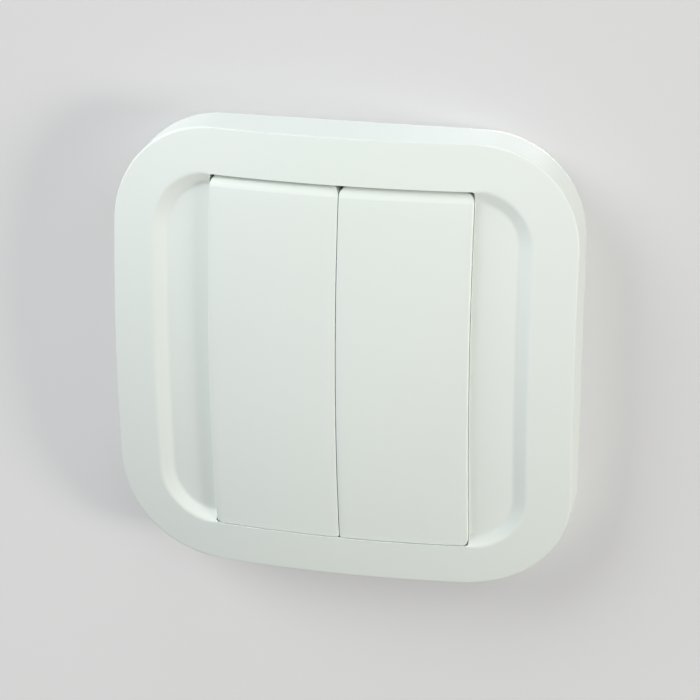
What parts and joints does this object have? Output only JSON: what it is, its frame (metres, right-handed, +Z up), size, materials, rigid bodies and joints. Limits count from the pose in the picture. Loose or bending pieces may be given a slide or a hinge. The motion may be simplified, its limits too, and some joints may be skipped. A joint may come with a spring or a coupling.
{
  "type": "wireless remote wall switch",
  "caption": "Square white wireless wall switch with a shallow domed face, side dishes and tall rocker keys that tilt on pivots over push switches, held by magnets on a wall plate.",
  "frame": {"origin": "centre of the wall plate's back face, on the wall", "axes": "+X to the right and +Z up as seen from the front, +Y into the wall, so the keys face -Y"},
  "size_m": [0.08, 0.0152, 0.08],
  "materials": {
    "white_plastic": "satin white ABS",
    "plate_plastic": "matt white ABS",
    "magnet": "nickel plated",
    "adhesive_foam": "foam tape with liner",
    "zinc_steel": "zinc plated",
    "board_green": "solder mask on glass fibre",
    "radio_green": "solder mask on glass fibre",
    "cell_steel": "nickel plated",
    "spring_steel": "nickel plated",
    "tinned_steel": "tin plated",
    "ceramic": "fired ceramic",
    "black_plastic": "moulded",
    "plunger_plastic": "moulded"
  },
  "bodies": {
    "wall_mount": {"wall_plate": "plate_plastic", "plate_magnets": "magnet", "adhesive_pads": "adhesive_foam"},
    "switch_unit": {"rear_housing": "white_plastic", "keeper_discs": "zinc_steel", "front_frame": "white_plastic", "circuit_board": "board_green", "board_screws": "zinc_steel", "coin_cell": "cell_steel", "cell_clip": "spring_steel", "cell_contact": "spring_steel", "radio_board": "radio_green", "radio_shield": "tinned_steel", "chip_antenna": "ceramic", "crystal_can": "tinned_steel", "capacitors": "ceramic", "switch_covers": "tinned_steel", "switch_body_upper_left": "black_plastic", "switch_body_upper_right": "black_plastic", "switch_body_lower_left": "black_plastic", "switch_body_lower_right": "black_plastic"},
    "key_left": {"rocker_left": "white_plastic"},
    "key_right": {"rocker_right": "white_plastic"},
    "door": {"cell_door": "white_plastic"},
    "stem_upper_left": {"plunger_upper_left": "plunger_plastic"},
    "stem_upper_right": {"plunger_upper_right": "plunger_plastic"},
    "stem_lower_left": {"plunger_lower_left": "plunger_plastic"},
    "stem_lower_right": {"plunger_lower_right": "plunger_plastic"}
  },
  "joints": [
    {"name": "wall_release", "type": "slide", "parent": "wall_mount", "child": "switch_unit", "axis": [0, -1, 0], "range_m": [0, 0.02]},
    {"name": "rocker_left_tilt", "type": "hinge", "parent": "switch_unit", "child": "key_left", "pos_m": [0, -0.0106, 0], "axis": [-1, 0, 0], "range_deg": [-1.5, 1.5], "stiffness_Nm_per_rad": 1.5},
    {"name": "rocker_right_tilt", "type": "hinge", "parent": "switch_unit", "child": "key_right", "pos_m": [0, -0.0106, 0], "axis": [-1, 0, 0], "range_deg": [-1.5, 1.5], "stiffness_Nm_per_rad": 1.5},
    {"name": "cell_door_turn", "type": "hinge", "parent": "switch_unit", "child": "door", "pos_m": [0, -0.0019, -0.017], "axis": [0, 1, 0], "range_deg": [0, 45]},
    {"name": "plunger_upper_left_press", "type": "slide", "parent": "switch_unit", "child": "stem_upper_left", "axis": [0, 1, 0], "range_m": [-0.0005, 0.0005]},
    {"name": "plunger_upper_right_press", "type": "slide", "parent": "switch_unit", "child": "stem_upper_right", "axis": [0, 1, 0], "range_m": [-0.0005, 0.0005]},
    {"name": "plunger_lower_left_press", "type": "slide", "parent": "switch_unit", "child": "stem_lower_left", "axis": [0, 1, 0], "range_m": [-0.0005, 0.0005]},
    {"name": "plunger_lower_right_press", "type": "slide", "parent": "switch_unit", "child": "stem_lower_right", "axis": [0, 1, 0], "range_m": [-0.0005, 0.0005]}
  ],
  "couplings": [
    {"joint": "plunger_upper_left_press", "follows": "rocker_left_tilt", "m_per_rad": 0.019},
    {"joint": "plunger_upper_right_press", "follows": "rocker_right_tilt", "m_per_rad": 0.019},
    {"joint": "plunger_lower_left_press", "follows": "rocker_left_tilt", "m_per_rad": -0.019},
    {"joint": "plunger_lower_right_press", "follows": "rocker_right_tilt", "m_per_rad": -0.019}
  ]
}
